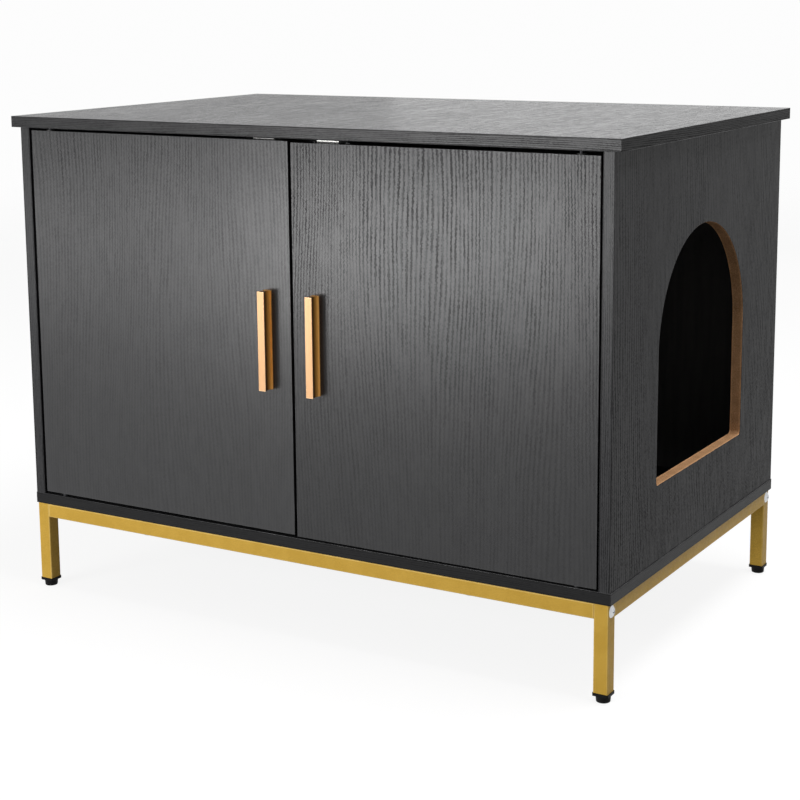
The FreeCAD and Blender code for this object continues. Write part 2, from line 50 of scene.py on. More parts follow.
camera_data = bpy.data.cameras.new("camera")
camera_data.sensor_width = 36.0
camera_data.lens = 79.087
camera_data.shift_y = -0.12
camera = bpy.data.objects.new("camera", camera_data)
camera.matrix_world = (
    Matrix.Translation(camera_place)
    @ Matrix.Rotation(camera_turn, 4, "Z")
    @ Matrix.Rotation(pi / 2 - camera_dip, 4, "X")
    @ Matrix.Rotation(camera_roll, 4, "Z")
)
bpy.context.scene.collection.objects.link(camera)
bpy.context.scene.camera = camera
bpy.context.scene.view_settings.view_transform = "Standard"


# ---------------------------------------------------------------------------------------------
# Studio: a white floor that runs into a white surround. Camera, mirror and glass rays see them
# as white, and the floor still takes the cabinet's shadow.
def feed(tree, socket, value):
    """Links a socket to the input, or sets the input's own number or colour."""
    if isinstance(value, bpy.types.NodeSocket):
        tree.links.new(value, socket)
    else:
        socket.default_value = value


def put(tree, kind, inputs=None, **settings):
    """Adds a shader node with its settings and the inputs that are named."""
    node = tree.nodes.new("ShaderNode" + kind)
    for name, value in settings.items():
        setattr(node, name, value)
    for name, value in (inputs or {}).items():
        feed(tree, node.inputs[name], value)
    return node


def calc(tree, operation, *terms):
    """One Math node on numbers or sockets."""
    node = tree.nodes.new("ShaderNodeMath")
    node.operation = operation
    for socket, term in zip(node.inputs, terms):
        feed(tree, socket, term)
    return node.outputs[0]


def fade(tree, value, start, end, low=0.0, high=1.0):
    """Runs smoothly from low, where the value is at start, to high, where it is at end."""
    node = put(tree, "MapRange", {
        "Value": value, "From Min": start, "From Max": end, "To Min": low, "To Max": high,
    }, interpolation_type="SMOOTHSTEP")
    return node.outputs[0]


def background_rays(tree):
    """1 for the rays that show the background as it is, 0 for those that only light things."""
    ray = tree.nodes.new("ShaderNodeLightPath")
    seen = calc(tree, "MAXIMUM", ray.outputs["Is Camera Ray"], ray.outputs["Is Glossy Ray"])
    return calc(tree, "MAXIMUM", seen, ray.outputs["Is Transmission Ray"])


background_white = (0.98, 0.98, 0.98, 1.0)
surround_light = 0.34
floor_half = 9.0
floor_grey = (0.17, 0.17, 0.17, 1.0)
floor_own_light = 0.87
floor_fade_start = 2.5
floor_fade_end = 6.0

world = bpy.data.worlds.new("surround")
world.use_nodes = True
bpy.context.scene.world = world
sky = world.node_tree
sky_shader = sky.nodes["Background"]
sky_shader.inputs["Color"].default_value = background_white
feed(sky, sky_shader.inputs["Strength"], fade(sky, background_rays(sky), 0, 1, surround_light, 1))

floor_mesh = bpy.data.meshes.new("floor")
shape = bmesh.new()
bmesh.ops.create_grid(shape, x_segments=4, y_segments=4, size=floor_half)
shape.to_mesh(floor_mesh)
shape.free()
floor = bpy.data.objects.new("floor", floor_mesh)
bpy.context.scene.collection.objects.link(floor)

floor_finish = bpy.data.materials.new("floor_white")
floor_finish.use_nodes = True
tree = floor_finish.node_tree
tree.nodes.clear()
place = tree.nodes.new("ShaderNodeTexCoord").outputs["Object"]
reach = put(tree, "VectorMath", {0: place}, operation="LENGTH").outputs["Value"]
far = fade(tree, reach, floor_fade_start, floor_fade_end)
paper = put(tree, "BsdfDiffuse", {"Color": floor_grey})
glow_level = calc(tree, "MULTIPLY", background_rays(tree), floor_own_light)
glow = put(tree, "Emission", {"Color": (1.0, 1.0, 1.0, 1.0), "Strength": glow_level})
lit = put(tree, "AddShader", {0: paper.outputs[0], 1: glow.outputs[0]})
beyond = put(tree, "BsdfTransparent")
whole = put(tree, "MixShader", {0: far, 1: lit.outputs[0], 2: beyond.outputs[0]})
put(tree, "OutputMaterial", {"Surface": whole.outputs[0]})
floor_mesh.materials.append(floor_finish)


def softbox(name, place, aim, width, height, power):
    """A rectangular soft light that faces the point aim."""
    lamp = bpy.data.lights.new(name, "AREA")
    lamp.shape = "RECTANGLE"
    lamp.size, lamp.size_y = width, height
    lamp.energy = power
    light = bpy.data.objects.new(name, lamp)
    light.location = place
    light.rotation_euler = (Vector(aim) - Vector(place)).to_track_quat("-Z", "Y").to_euler()
    light.visible_camera = False
    bpy.context.scene.collection.objects.link(light)


softbox("near_low_light", (-0.95, -2.25, 0.2), (0.1, -0.3, 0.35), 0.8, 0.36, 10.0)
softbox("left_low_light", (-1.9, -2.2, 0.2), (-0.2, -0.3, 0.35), 0.8, 0.36, 3.8)
softbox("far_low_light", (-1.3, -2.95, 0.22), (0.1, -0.3, 0.35), 1.0, 0.4, 6.0)
softbox("high_light", (-1.3, -2.95, 1.3), (0.1, -0.3, 0.45), 1.0, 0.5, 24.0)
softbox("middle_light", (-0.5, -2.95, 0.6), (0.1, -0.3, 0.4), 0.7, 1.1, 13.0)
softbox("right_light", (0.65, 0.1, 2.3), (0.2, 0.0, 0.4), 1.2, 1.2, 45.0)
softbox("rear_light", (-0.9, 3.2, 1.0), (0.1, 0.3, 0.6), 1.8, 0.8, 2.3)


# ---------------------------------------------------------------------------------------------
# Base: two side frames of square steel tube, welded from a leg, a rail and a leg, and a front and
# a rear rail that are bolted between them. All are powder coated in metallic gold.
def new_finish(name):
    """An empty material: itself, its node tree, its shader and the place on the piece."""
    material = bpy.data.materials.new(name)
    material.use_nodes = True
    tree = material.node_tree
    place = tree.nodes.new("ShaderNodeTexCoord").outputs["Object"]
    return material, tree, tree.nodes["Principled BSDF"], place


def mix(tree, share, first, second):
    """The first colour at share 0 and the second at share 1."""
    node = tree.nodes.new("ShaderNodeMix")
    node.data_type = "RGBA"
    feed(tree, node.inputs[0], share)
    feed(tree, node.inputs[6], first)
    feed(tree, node.inputs[7], second)
    return node.outputs[2]


def shade(tree, colour, amount):
    """The colour made lighter or darker by an amount that changes over the surface."""
    node = put(tree, "VectorMath", {0: colour}, operation="SCALE")
    feed(tree, node.inputs["Scale"], amount)
    return node.outputs[0]


def grit(tree, place, cells, detail=2.0, roughness=0.5):
    """Noise from 0 to 1 with that many cells per metre along x, y and z."""
    scaled = put(tree, "VectorMath", {0: place, 1: cells}, operation="MULTIPLY")
    return put(tree, "TexNoise", {
        "Vector": scaled.outputs[0], "Scale": 1.0, "Detail": detail, "Roughness": roughness,
    }).outputs[0]


def relief(tree, height, depth, strength=1.0):
    """A bump normal for heights from 0 to 1 that stand for that depth in metres."""
    return put(tree, "Bump", {
        "Height": height, "Distance": depth, "Strength": strength,
    }).outputs["Normal"]


def dress(names, material):
    """Gives CAD nodes their finish."""
    for name in names:
        for seat in nodes[name].material_slots:
            seat.material = material


# The group gives 1 on the long edges of a straight box, where the finishes paint a highlight,
# and nothing on whatever isn't on the box. Its second mask is 1 under the skin.
outside_box = (-0.0006, -0.0003)
under_skin = (0.00022, 0.00042)
edge_group = bpy.data.node_groups.new("box_edges", "ShaderNodeTree")
for socket in ("Vector", "Low", "High"):
    edge_group.interface.new_socket(name=socket, in_out="INPUT", socket_type="NodeSocketVector")
edge_group.interface.new_socket(name="Width", in_out="INPUT", socket_type="NodeSocketFloat")
for socket in ("Edge", "Inside"):
    edge_group.interface.new_socket(name=socket, in_out="OUTPUT", socket_type="NodeSocketFloat")
tree = edge_group
given = tree.nodes.new("NodeGroupInput").outputs
above = put(tree, "VectorMath", {0: given["Vector"], 1: given["Low"]}, operation="SUBTRACT")
below = put(tree, "VectorMath", {0: given["High"], 1: given["Vector"]}, operation="SUBTRACT")
inset = put(tree, "VectorMath", {0: above.outputs[0], 1: below.outputs[0]}, operation="MINIMUM")
inset_x, inset_y, inset_z = put(tree, "SeparateXYZ", {0: inset.outputs[0]}).outputs
lesser = calc(tree, "MINIMUM", inset_x, inset_y)
greater = calc(tree, "MAXIMUM", inset_x, inset_y)
nearest = calc(tree, "MINIMUM", lesser, inset_z)
second = calc(tree, "MAXIMUM", lesser, calc(tree, "MINIMUM", greater, inset_z))
on_box = fade(tree, nearest, *outside_box)
inside = fade(tree, nearest, *under_skin)
edge = calc(tree, "DIVIDE", second, given["Width"])
edge = calc(tree, "MULTIPLY", fade(tree, edge, 1.0, 0.2), on_box)
edge = calc(tree, "MULTIPLY", edge, calc(tree, "SUBTRACT", 1.0, inside))
put_out = tree.nodes.new("NodeGroupOutput").inputs
tree.links.new(edge, put_out["Edge"])
tree.links.new(inside, put_out["Inside"])


def box_edges(tree, place, low, high, width):
    """The edge and inside masks of one straight box."""
    node = tree.nodes.new("ShaderNodeGroup")
    node.node_tree = edge_group
    for name, value in (("Vector", place), ("Low", low), ("High", high), ("Width", width)):
        feed(tree, node.inputs[name], value)
    return node.outputs["Edge"], node.outputs["Inside"]


gold_deep = (0.54, 0.325, 0.046, 1.0)
gold_plain = (0.585, 0.358, 0.056, 1.0)
# The pale gold is the painted highlight on the long edges of the tubes.
gold_edge_highlight = (0.80, 0.58, 0.20, 1.0)
gold_edge_width = 0.0022
orange_peel = 0.00006
rail_low, rail_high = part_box("front_rail")
tube_width = rail_high.z - rail_low.z
leg_box_past_ends = 1.0


def gold_coat(name, boxes):
    """Metallic powder coat: cloudy, with a fine orange peel, and a painted highlight in patches
    on the long edges of the boxes that are given."""
    material, tree, shader, place = new_finish(name)
    clouds = grit(tree, place, (38.0, 38.0, 38.0), 3.0, 0.6)
    flakes = grit(tree, place, (900.0, 900.0, 900.0), 2.0, 0.7)
    colour = mix(tree, fade(tree, clouds, 0.32, 0.68), gold_deep, gold_plain)
    colour = shade(tree, colour, fade(tree, flakes, 0.3, 0.7, 0.86, 1.14))
    edge = 0.0
    for low, high in boxes:
        on_this = box_edges(tree, place, low, high, gold_edge_width)[0]
        edge = calc(tree, "MAXIMUM", edge, on_this)
    # Painted highlight on the long edges, broken up in patches.
    patchy_edge_highlight = calc(tree, "MULTIPLY", edge, fade(tree, clouds, 0.25, 0.6, 0.25, 0.6))
    feed(tree, shader.inputs["Base Color"], mix(tree, patchy_edge_highlight, colour, gold_edge_highlight))
    rough = fade(tree, grit(tree, place, (160.0, 160.0, 160.0)), 0.3, 0.7, 0.36, 0.47)
    feed(tree, shader.inputs["Roughness"], rough)
    shader.inputs["Metallic"].default_value = 0.05
    shader.inputs["Specular IOR Level"].default_value = 0.12
    peel = grit(tree, place, (420.0, 420.0, 420.0), 1.0)
    feed(tree, shader.inputs["Normal"], relief(tree, peel, orange_peel))
    return material


for side in ("left", "right"):
    name = "side_frame_" + side
    low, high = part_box(name)
    foot_end = low.z - leg_box_past_ends
    head_end = high.z + leg_box_past_ends
    leg_back, leg_front = low.y + tube_width, high.y - tube_width
    front_leg = ((low.x, low.y, foot_end), (high.x, leg_back, head_end))
    rear_leg = ((low.x, leg_front, foot_end), (high.x, high.y, head_end))
    rail = ((low.x, leg_back, high.z - tube_width), (high.x, leg_front, high.z))
    dress([name], gold_coat("gold_coat_" + name, [front_leg, rail, rear_leg]))
for name in ("front_rail", "rear_rail"):
    dress([name], gold_coat("gold_coat_" + name, [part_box(name)]))


# ---------------------------------------------------------------------------------------------
# Welds: in each side frame a bead runs across the inner corner where the rail meets a leg. It is
# laid in short overlapping pools and coated with the frame.
bead_radius = 0.0024
bead_pool = 0.0021
bead_squash = 0.75
bead_stand_off = 0.15 * bead_radius
bead_lean = radians(12.0)
bead_end_play = 0.002
bead_finish = gold_coat("gold_coat_welds", [])


def weld_bead(shape, start_x, end_x, corner_y, corner_z, leg_side):
    """Pools of weld side by side, set in the corner between the leg and the rail."""
    count = round((end_x - start_x) / bead_pool)
    step = (end_x - start_x) / count
    for pool in range(count):
        made = bmesh.ops.create_uvsphere(shape, u_segments=14, v_segments=8, radius=bead_radius)
        squeeze = Matrix.Diagonal((bead_squash, 1.0, 1.0, 1.0))
        seat = Vector((
            start_x + (pool + 0.5) * step,
            corner_y + leg_side * bead_stand_off,
            corner_z - bead_stand_off,
        ))
        lean = Matrix.Rotation(bead_lean * (-1) ** pool, 4, "X")
        bmesh.ops.transform(shape, matrix=Matrix.Translation(seat) @ lean @ squeeze,
                            verts=made["verts"])


for side in ("left", "right"):
    low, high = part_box("side_frame_" + side)
    rail_under = high.z - tube_width
    start_x, end_x = low.x + bead_end_play, high.x - bead_end_play
    shape = bmesh.new()
    for corner_y, leg_side in ((low.y + tube_width, 1), (high.y - tube_width, -1)):
        weld_bead(shape, start_x, end_x, corner_y, rail_under, leg_side)
    mesh = bpy.data.meshes.new("weld_beads_" + side)
    shape.to_mesh(mesh)
    shape.free()
    mesh.polygons.foreach_set("use_smooth", [True] * len(mesh.polygons))
    mesh.materials.append(bead_finish)
    beads = bpy.data.objects.new("weld_beads_" + side, mesh)
    bpy.context.scene.collection.objects.link(beads)
    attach(beads, "carcass")


# ---------------------------------------------------------------------------------------------
# Feet: moulded black plastic plugs with a square flange under each leg and a round stub that
# stands on the floor. The stub is scuffed where it stands.
scuff_grey = (0.05, 0.05, 0.049, 1.0)


def black_moulding(name, tone, scuff_height):
    """Black plastic with a fine spark-eroded texture, and grey scuffs below scuff_height."""
    material, tree, shader, place = new_finish(name)
    clouds = grit(tree, place, (70.0, 70.0, 70.0), 3.0)
    skin = grit(tree, place, (2200.0, 2200.0, 2200.0), 2.0, 0.6)
    light = (tone * 1.5, tone * 1.5, tone * 1.55, 1.0)
    colour = mix(tree, fade(tree, clouds, 0.3, 0.7), (tone, tone, tone, 1.0), light)
    colour = shade(tree, colour, fade(tree, skin, 0.3, 0.7, 0.8, 1.2))
    height = put(tree, "SeparateXYZ", {0: place}).outputs["Z"]
    scuffs = calc(tree, "MULTIPLY", fade(tree, height, scuff_height, 0.0),
                  fade(tree, grit(tree, place, (600.0, 600.0, 200.0)), 0.5, 0.7))
    feed(tree, shader.inputs["Base Color"], mix(tree, scuffs, colour, scuff_grey))
    shader.inputs["Specular IOR Level"].default_value = 0.08
    feed(tree, shader.inputs["Roughness"], fade(tree, skin, 0.3, 0.7, 0.42, 0.58))
    feed(tree, shader.inputs["Normal"], relief(tree, skin, 0.00004))
    return material


feet = ["foot_front_left", "foot_front_right", "foot_rear_left", "foot_rear_right"]
dress(feet, black_moulding("foot_plastic", 0.004, 0.004))


# ---------------------------------------------------------------------------------------------
# Base fasteners: zinc-plated truss-head bolts through the legs into nut blocks in the rail ends,
# and bolts from below through the rails into inserts in the bottom board.
def plated(name, pale, tinted, rough_low, rough_high, lay=(1.0, 1.0, 1.0)):
    """Plated metal with a cloudy tint and hair scratches that run across the lay."""
    material, tree, shader, place = new_finish(name)
    clouds = grit(tree, place, (130.0, 130.0, 130.0), 3.0, 0.6)
    hairs = grit(tree, place, tuple(900.0 * share for share in lay), 3.0, 0.7)
    colour = mix(tree, fade(tree, clouds, 0.35, 0.65), pale, tinted)
    colour = shade(tree, colour, fade(tree, hairs, 0.25, 0.75, 0.9, 1.08))
    feed(tree, shader.inputs["Base Color"], colour)
    feed(tree, shader.inputs["Roughness"], fade(tree, hairs, 0.25, 0.75, rough_low, rough_high))
    shader.inputs["Metallic"].default_value = 1.0
    feed(tree, shader.inputs["Normal"], relief(tree, hairs, 0.00001))
    return material


zinc = plated("bright_zinc", (0.58, 0.60, 0.63, 1.0), (0.52, 0.53, 0.53, 1.0), 0.24, 0.36)
die_cast = plated("die_cast_zinc", (0.47, 0.47, 0.46, 1.0), (0.36, 0.36, 0.36, 1.0), 0.42, 0.6)
dress(["frame_bolts", "deck_bolts"], zinc)
dress(["rail_nut_blocks", "deck_inserts"], die_cast)

# ---------------------------------------------------------------------------------------------
# Bottom board: 15 mm fibreboard with black ash-grain laminate on both faces and edge strips
# glued on. It lies on the base, and its grain runs along the cabinet.

# The grain. The sheet is printed and embossed together, so one group gives the growth lines, the
# pores in them and the slow changes of tone. The grain runs along z of the place it is given.
# Sway, ripple and jag are how many lines the grain wanders by, from the slow to the fine.
sway_lines = 17.0
ripple_lines = 1.0
jag_lines = 1.1
grain_group = bpy.data.node_groups.new("ash_grain", "ShaderNodeTree")
grain_group.interface.new_socket(name="Vector", in_out="INPUT", socket_type="NodeSocketVector")
grain_group.interface.new_socket(name="Pitch", in_out="INPUT", socket_type="NodeSocketFloat")
for socket in ("Lines", "Pores", "Tone"):
    grain_group.interface.new_socket(name=socket, in_out="OUTPUT", socket_type="NodeSocketFloat")
tree = grain_group
given = tree.nodes.new("NodeGroupInput").outputs
side_x, side_y, along = put(tree, "SeparateXYZ", {0: given["Vector"]}).outputs
across = calc(tree, "ADD", side_x, side_y)
sheet = put(tree, "CombineXYZ", {"X": across, "Y": along}).outputs[0]
sway = grit(tree, sheet, (5.0, 1.1, 0.0), 1.0)
ripple = grit(tree, sheet, (34.0, 9.0, 0.0), 2.0)
jag = grit(tree, sheet, (300.0, 330.0, 0.0), 2.0, 0.6)
line_count = calc(tree, "DIVIDE", across, given["Pitch"])
line_count = calc(tree, "ADD", line_count, calc(tree, "MULTIPLY", sway, sway_lines))
line_count = calc(tree, "ADD", line_count, calc(tree, "MULTIPLY", ripple, ripple_lines))
line_count = calc(tree, "ADD", line_count, calc(tree, "MULTIPLY", jag, jag_lines))
wave = calc(tree, "SINE", calc(tree, "MULTIPLY", line_count, 2 * pi))
breaks = grit(tree, sheet, (170.0, 14.0, 0.0), 2.0, 0.6)
areas = grit(tree, sheet, (14.0, 2.6, 0.0), 2.0)
lines = fade(tree, wave, -0.75, 0.85)
lines = calc(tree, "MULTIPLY", lines, fade(tree, breaks, 0.34, 0.6, 0.5, 1.0))
lines = calc(tree, "MULTIPLY", lines, fade(tree, areas, 0.34, 0.6, 0.8, 1.0))
dashes = grit(tree, sheet, (900.0, 160.0, 0.0), 2.0, 0.6)
pores = calc(tree, "MULTIPLY", fade(tree, dashes, 0.5, 0.64),
             calc(tree, "ADD", calc(tree, "MULTIPLY", lines, 0.6), 0.4))
tone = grit(tree, sheet, (11.0, 1.4, 0.0), 3.0, 0.55)
put_out = tree.nodes.new("NodeGroupOutput").inputs
tree.links.new(lines, put_out["Lines"])
tree.links.new(pores, put_out["Pores"])
tree.links.new(tone, put_out["Tone"])

# Raw fibreboard: brown, with pale and dark fibre flecks. It shows where the board is cut or bored.
fibre_deep = (0.35, 0.18, 0.082, 1.0)
fibre_pale = (0.61, 0.355, 0.19, 1.0)
fibre_group = bpy.data.node_groups.new("raw_fibreboard", "ShaderNodeTree")
fibre_group.interface.new_socket(name="Vector", in_out="INPUT", socket_type="NodeSocketVector")
fibre_group.interface.new_socket(name="Color", in_out="OUTPUT", socket_type="NodeSocketColor")
fibre_group.interface.new_socket(name="Fibres", in_out="OUTPUT", socket_type="NodeSocketFloat")
tree = fibre_group
given = tree.nodes.new("NodeGroupInput").outputs
fibres = grit(tree, given["Vector"], (700.0, 900.0, 700.0), 3.0, 0.65)
patches = grit(tree, given["Vector"], (60.0, 60.0, 60.0), 3.0)
colour = mix(tree, fade(tree, fibres, 0.3, 0.7), fibre_deep, fibre_pale)
colour = shade(tree, colour, fade(tree, patches, 0.3, 0.7, 0.88, 1.1))
put_out = tree.nodes.new("NodeGroupOutput").inputs
tree.links.new(colour, put_out["Color"])
tree.links.new(fibres, put_out["Fibres"])

grain_dark = (0.0080, 0.0080, 0.0086, 1.0)
grain_light = (0.024, 0.024, 0.0252, 1.0)
grain_pitch = 0.0053
emboss_depth = 0.00008
sheet_thickness = 0.0004
blend_width = 0.0002
glue_near, glue_far = 0.0009, 0.0017
dense_core, open_core = 0.0008, 0.0032
# The pale grey is the painted highlight on the long edges of the boards.
skin_edge_highlight = (0.12, 0.12, 0.125, 1.0)
skin_edge_width = 0.0012
glue_line = (0.006, 0.006, 0.006, 1.0)
ALONG_X = (0.0, pi / 2, 0.0)
ALONG_Y = (pi / 2, 0.0, 0.0)
ALONG_Z = (0.0, 0.0, 0.0)


def laminate(name, grain_turn, thin_axis, cut_from, overlay, figure, tone_level=1.0,
             strip_level=(0.5, 0.5), mottle=0.06, base_gloss=0.03):
    """The finish of one board. grain_turn lays the grain along x, y or z, thin_axis is the board's
    short axis, and cut_from picks the part of the sheet. overlay is how glossy the clear top layer
    is, and figure how strong the lines are at the bottom and at the top of the board, which is
    painted light for where the sheen shows the grain. tone_level lightens or darkens the one
    laminate board by board, painted light and shade. strip_level is the tone and gloss of the edge
    strips, on the front and rear edges and on the others: partly their own tone, partly painted
    light and shade. mottle is how uneven the gloss is, and base_gloss the gloss of the print under
    the top layer."""
    material, tree, shader, place = new_finish("laminate_" + name)
    low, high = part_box(name)
    edge, inside = box_edges(tree, place, low, high, skin_edge_width)

    y, height = put(tree, "SeparateXYZ", {0: place}).outputs[1:]
    depth = put(tree, "VectorMath", {0: place, 1: thin_axis}, operation="DOT_PRODUCT")
    depth = depth.outputs["Value"]
    middle = (low + high).dot(Vector(thin_axis)) / 2
    half_board = (high - low).dot(Vector(thin_axis)) / 2
    off_middle = calc(tree, "ABSOLUTE", calc(tree, "SUBTRACT", depth, middle))
    from_face = calc(tree, "SUBTRACT", half_board, off_middle)
    strip = fade(tree, from_face, sheet_thickness, sheet_thickness + blend_width)
    from_middle = calc(tree, "ABSOLUTE", calc(tree, "SUBTRACT", y, (low.y + high.y) / 2))
    from_front = calc(tree, "SUBTRACT", (high.y - low.y) / 2, from_middle)
    on_front = fade(tree, from_front, sheet_thickness, sheet_thickness - blend_width)
    strip_shade_and_gloss = fade(tree, on_front, 0.0, 1.0, strip_level[1], strip_level[0])
    strip_shade_and_gloss = put(tree, "Mix", {0: strip, 2: 1.0, 3: strip_shade_and_gloss}).outputs[0]

    turned = put(tree, "Mapping", {"Vector": place, "Rotation": grain_turn}).outputs[0]
    total = put(tree, "VectorMath", {0: place, 1: (1.0, 1.0, 1.0)}, operation="DOT_PRODUCT")
    length_on_strip = calc(tree, "SUBTRACT", total.outputs["Value"], depth)
    on_strip = put(tree, "CombineXYZ", {
        "X": calc(tree, "MULTIPLY", depth, 2.2), "Z": length_on_strip,
    }).outputs[0]
    lay = put(tree, "Mix", {0: strip, 4: turned, 5: on_strip}, data_type="VECTOR").outputs[1]
    lay = put(tree, "VectorMath", {0: lay, 1: cut_from}, operation="ADD").outputs[0]
    grain = put(tree, "Group", {"Vector": lay, "Pitch": grain_pitch}, node_tree=grain_group)
    lines, pores, tone = (grain.outputs[part] for part in ("Lines", "Pores", "Tone"))
    # The lines grow stronger or weaker from the bottom to the top of the board. This is painted
    # light for the sheen that shows the grain.
    painted_sheen_figure = fade(tree, height, low.z, high.z, figure[0], figure[1])
    ink = calc(tree, "ADD", calc(tree, "MULTIPLY", lines, 0.75),
               calc(tree, "MULTIPLY", pores, 0.25))
    ink = calc(tree, "MINIMUM", calc(tree, "MULTIPLY", ink, painted_sheen_figure), 1.0)

    colour = mix(tree, ink, grain_light, grain_dark)
    # tone_level lightens or darkens the one laminate board by board. This is painted light and
    # shade for how each board is lit.
    tone_now = fade(tree, tone, 0.25, 0.75, 0.85 * tone_level, 1.15 * tone_level)
    colour = shade(tree, colour, tone_now)
    # The edge strips take their own tone, and they are also made lighter or darker board by board
    # and darker at the side ends of the top board. That part is painted light and shade.
    colour = shade(tree, colour, strip_shade_and_gloss)
    glued = calc(tree, "MULTIPLY", strip, fade(tree, from_face, glue_far, glue_near))
    colour = mix(tree, calc(tree, "MULTIPLY", glued, 0.7), colour, glue_line)
    # Painted highlight on the long edges, broken up in patches and kept off the glue line.
    rub = grit(tree, place, (45.0, 45.0, 45.0), 3.0, 0.6)
    patchy_edge_highlight = calc(tree, "MULTIPLY", edge, fade(tree, rub, 0.4, 0.7, 0.05, 0.5))
    patchy_edge_highlight = calc(tree, "MULTIPLY", patchy_edge_highlight, calc(tree, "SUBTRACT", 1.0, glued))
    colour = mix(tree, patchy_edge_highlight, colour, skin_edge_highlight)
    core = put(tree, "Group", {"Vector": place}, node_tree=fibre_group)
    core_level = fade(tree, from_face, dense_core, open_core, 1.3, 0.9)
    core_colour = shade(tree, core.outputs["Color"], core_level)
    colour = mix(tree, inside, colour, core_colour)
    feed(tree, shader.inputs["Base Color"], colour)

    matt = calc(tree, "MAXIMUM", ink, glued)
    clear = fade(tree, tone, 0.2, 0.8, overlay * 1.06, overlay * 0.94)
    clear = calc(tree, "MULTIPLY", clear, fade(tree, matt, 0.0, 1.0, 1.0, 0.25))
    clouds = grit(tree, lay, (120.0, 120.0, 40.0), 2.0, 0.6)
    uneven = fade(tree, clouds, 0.3, 0.7, 1.0 + mottle, 1.0 - mottle)
    clear = calc(tree, "MULTIPLY", clear, uneven)
    clear = calc(tree, "MULTIPLY", clear, strip_shade_and_gloss)
    clear = calc(tree, "MULTIPLY", clear, calc(tree, "SUBTRACT", 1.0, inside))
    feed(tree, shader.inputs["Coat Weight"], clear)
    shader.inputs["Coat Roughness"].default_value = 0.26
    rough = fade(tree, ink, 0.0, 1.0, 0.5, 0.7)
    rough = calc(tree, "MAXIMUM", rough, calc(tree, "MULTIPLY", inside, 0.85))
    feed(tree, shader.inputs["Roughness"], rough)
    shader.inputs["Specular IOR Level"].default_value = base_gloss

    dents = calc(tree, "ADD", calc(tree, "MULTIPLY", lines, 0.7),
                 calc(tree, "MULTIPLY", pores, 0.3))
    rise = calc(tree, "SUBTRACT", 1.0, dents)
    rise = put(tree, "Mix", {0: inside, 2: rise, 3: core.outputs["Fibres"]}).outputs[0]
    feed(tree, shader.inputs["Normal"], relief(tree, rise, emboss_depth))
    return material


dress(["bottom_board"],
      laminate("bottom_board", ALONG_X, (0.0, 0.0, 1.0), (0.31, 0.0, 0.2), 0.5, (0.6, 0.6)))

# ---------------------------------------------------------------------------------------------
# Side boards: they stand on the bottom board, with upright grain. The right one has the arched
# cat doorway, routed out after the board was laminated, so its edge is raw fibreboard.
for side, cut_from in (("left", (0.2, 0.1, 0.4)), ("right", (0.7, 0.0, 0.9))):
    name = "side_board_" + side
    dress([name], laminate(name, ALONG_Z, (1.0, 0.0, 0.0), cut_from, 0.32, (1.1, 0.7),
                           tone_level=1.3, strip_level=(1.3, 1.3), base_gloss=0.0))


# ---------------------------------------------------------------------------------------------
# Back: two halves of 3 mm hardboard in the grooves of the boards, painted black. The inside is
# smooth, and the outside keeps the print of the mesh that it was pressed on.
mesh_pitch = 0.0017
mesh_depth = 0.00012
smooth_side, meshed_side = 0.0012, 0.0018
paint_deep = (0.020, 0.019, 0.018, 1.0)
paint_thick = (0.036, 0.034, 0.032, 1.0)
board_brown = (0.12, 0.08, 0.05, 1.0)


def hardboard(name):
    """Matt black paint on hardboard, with a pressed mesh on the rear face."""
    material, tree, shader, place = new_finish("hardboard_" + name)
    low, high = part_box(name)
    x, y, z = put(tree, "SeparateXYZ", {0: place}).outputs
    weft = calc(tree, "SINE", calc(tree, "MULTIPLY", x, 2 * pi / mesh_pitch))
    warp = calc(tree, "SINE", calc(tree, "MULTIPLY", z, 2 * pi / mesh_pitch))
    outside = fade(tree, y, low.y + smooth_side, low.y + meshed_side)
    press = calc(tree, "MULTIPLY", calc(tree, "MULTIPLY", weft, warp), outside)
    brush = grit(tree, place, (90.0, 90.0, 8.0), 3.0)
    fibres = grit(tree, place, (500.0, 500.0, 500.0), 3.0, 0.7)
    colour = mix(tree, fade(tree, brush, 0.3, 0.7), paint_deep, paint_thick)
    colour = shade(tree, colour, fade(tree, fibres, 0.3, 0.7, 0.8, 1.2))
    thin_paint = calc(tree, "MULTIPLY", fade(tree, press, 0.3, 1.0), fade(tree, brush, 0.5, 0.75))
    colour = mix(tree, calc(tree, "MULTIPLY", thin_paint, 0.35), colour, board_brown)
    feed(tree, shader.inputs["Base Color"], colour)
    feed(tree, shader.inputs["Roughness"], fade(tree, fibres, 0.3, 0.7, 0.55, 0.75))
    press_height = calc(tree, "MULTIPLY", press, 0.5)
    height = calc(tree, "ADD", press_height, calc(tree, "MULTIPLY", fibres, 0.3))
    feed(tree, shader.inputs["Normal"], relief(tree, height, mesh_depth))
    return material


for side in ("left", "right"):
    dress(["back_panel_" + side], hardboard("back_panel_" + side))
dress(["back_joining_strip"], black_moulding("strip_plastic", 0.014, -1.0))

# ---------------------------------------------------------------------------------------------
# Top board: laminated like the others, with the grain from the front to the back. It hangs over
# the sides, the doors and the back.
dress(["top_board"],
      laminate("top_board", ALONG_Y, (0.0, 0.0, 1.0), (0.0, 0.4, 0.7), 0.74, (1.25, 1.15),
               tone_level=1.2, strip_level=(0.75, 0.26), mottle=0.1))


# ---------------------------------------------------------------------------------------------
# Joints of the boards: zinc cam locks and bolts, and glued dowels of fluted beech beside them.
# They are hidden once the cabinet stands.
beech_deep = (0.52, 0.33, 0.17, 1.0)
beech_pale = (0.66, 0.45, 0.26, 1.0)


